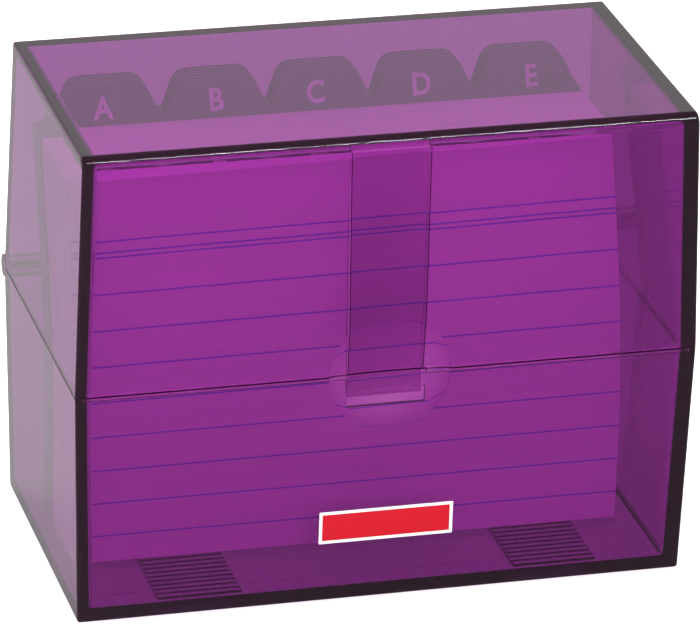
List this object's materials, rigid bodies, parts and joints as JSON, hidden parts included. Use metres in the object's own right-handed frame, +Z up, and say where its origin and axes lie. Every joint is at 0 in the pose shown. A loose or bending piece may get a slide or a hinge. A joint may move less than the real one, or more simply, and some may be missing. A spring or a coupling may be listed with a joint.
{
  "type": "hinged index card box",
  "caption": "Clear plastic index card box with a hinged lid, latch tongue and thumb dish, holding ruled cards and a lettered register.",
  "frame": {"origin": "middle of the case on the surface that it stands on; the hinge barrel reaches past the back", "axes": "+X along the width to the right, +Y to the back with the hinge, +Z up"},
  "size_m": [0.1198, 0.0667, 0.0933],
  "materials": {
    "purple_plastic": "clear purple polystyrene, moulded glossy",
    "steel": "drawn wire",
    "label": "printed, red with a white border",
    "card": "matt white card stock",
    "divider": "thin dark polypropylene with pale letters"
  },
  "bodies": {
    "base": {"base_tray": "purple_plastic", "hinge_rod": "steel", "front_label": "label"},
    "lid": {"lid_shell": "purple_plastic"},
    "latch": {"latch_tongue": "purple_plastic"},
    "card_front": {"index_card_front": "card"},
    "card_bundle_1": {"card_bundle_1": "card"},
    "card_bundle_2": {"card_bundle_2": "card"},
    "card_bundle_3": {"card_bundle_3": "card"},
    "card_bundle_4": {"card_bundle_4": "card"},
    "card_bundle_5": {"card_bundle_5": "card"},
    "register_row_1": {"divider_a": "divider", "divider_b": "divider", "divider_c": "divider", "divider_d": "divider", "divider_e": "divider"},
    "register_row_2": {"divider_f": "divider", "divider_g": "divider", "divider_h": "divider", "divider_i": "divider", "divider_j": "divider"},
    "register_row_3": {"divider_k": "divider", "divider_l": "divider", "divider_m": "divider", "divider_n": "divider", "divider_o": "divider"},
    "register_row_4": {"divider_p": "divider", "divider_q": "divider", "divider_r": "divider", "divider_s": "divider", "divider_t": "divider"},
    "register_row_5": {"divider_u": "divider", "divider_v": "divider", "divider_w": "divider", "divider_x": "divider", "divider_y": "divider"}
  },
  "joints": [
    {"name": "lid_hinge", "type": "hinge", "parent": "base", "child": "lid", "pos_m": [0, 0.0325, 0.0464], "axis": [-1, 0, 0], "range_deg": [0, 170]},
    {"name": "latch_flex", "type": "hinge", "parent": "lid", "child": "latch", "pos_m": [-0.0006, -0.02771, 0.0909], "axis": [1, 0, 0], "range_deg": [0, 1.2], "stiffness_Nm_per_rad": 4},
    {"name": "card_front_lean", "type": "hinge", "parent": "base", "child": "card_front", "pos_m": [-0.0007, -0.01099, 0.0028], "axis": [1, 0, 0], "range_deg": [0, 20]},
    {"name": "card_bundle_1_lean", "type": "hinge", "parent": "base", "child": "card_bundle_1", "pos_m": [-0.0007, -0.01077, 0.0028], "axis": [1, 0, 0], "range_deg": [0, 18]},
    {"name": "card_bundle_2_lean", "type": "hinge", "parent": "base", "child": "card_bundle_2", "pos_m": [-0.0007, -0.00712, 0.0028], "axis": [1, 0, 0], "range_deg": [0, 16]},
    {"name": "card_bundle_3_lean", "type": "hinge", "parent": "base", "child": "card_bundle_3", "pos_m": [-0.0007, -0.00347, 0.0028], "axis": [1, 0, 0], "range_deg": [0, 14]},
    {"name": "card_bundle_4_lean", "type": "hinge", "parent": "base", "child": "card_bundle_4", "pos_m": [-0.0007, 0.00018, 0.0028], "axis": [1, 0, 0], "range_deg": [0, 12]},
    {"name": "card_bundle_5_lean", "type": "hinge", "parent": "base", "child": "card_bundle_5", "pos_m": [-0.0007, 0.00383, 0.0028], "axis": [1, 0, 0], "range_deg": [0, 10]},
    {"name": "register_row_1_lean", "type": "hinge", "parent": "base", "child": "register_row_1", "pos_m": [0, 0.00748, 0.0028], "axis": [1, 0, 0], "range_deg": [0, 8.4]},
    {"name": "register_row_2_lean", "type": "hinge", "parent": "base", "child": "register_row_2", "pos_m": [0, 0.00876, 0.0028], "axis": [1, 0, 0], "range_deg": [0, 6.8]},
    {"name": "register_row_3_lean", "type": "hinge", "parent": "base", "child": "register_row_3", "pos_m": [0, 0.01003, 0.0028], "axis": [1, 0, 0], "range_deg": [0, 5.2]},
    {"name": "register_row_4_lean", "type": "hinge", "parent": "base", "child": "register_row_4", "pos_m": [0, 0.01131, 0.0028], "axis": [1, 0, 0], "range_deg": [0, 3.6]},
    {"name": "register_row_5_lean", "type": "hinge", "parent": "base", "child": "register_row_5", "pos_m": [0, 0.01258, 0.0028], "axis": [1, 0, 0], "range_deg": [0, 2]}
  ],
  "couplings": [
    {"joint": "card_bundle_1_lean", "follows": "card_front_lean", "ratio": 0.9},
    {"joint": "card_bundle_2_lean", "follows": "card_front_lean", "ratio": 0.8},
    {"joint": "card_bundle_3_lean", "follows": "card_front_lean", "ratio": 0.7},
    {"joint": "card_bundle_4_lean", "follows": "card_front_lean", "ratio": 0.6},
    {"joint": "card_bundle_5_lean", "follows": "card_front_lean", "ratio": 0.5},
    {"joint": "register_row_1_lean", "follows": "card_front_lean", "ratio": 0.42},
    {"joint": "register_row_2_lean", "follows": "card_front_lean", "ratio": 0.34},
    {"joint": "register_row_3_lean", "follows": "card_front_lean", "ratio": 0.26},
    {"joint": "register_row_4_lean", "follows": "card_front_lean", "ratio": 0.18},
    {"joint": "register_row_5_lean", "follows": "card_front_lean", "ratio": 0.1}
  ]
}
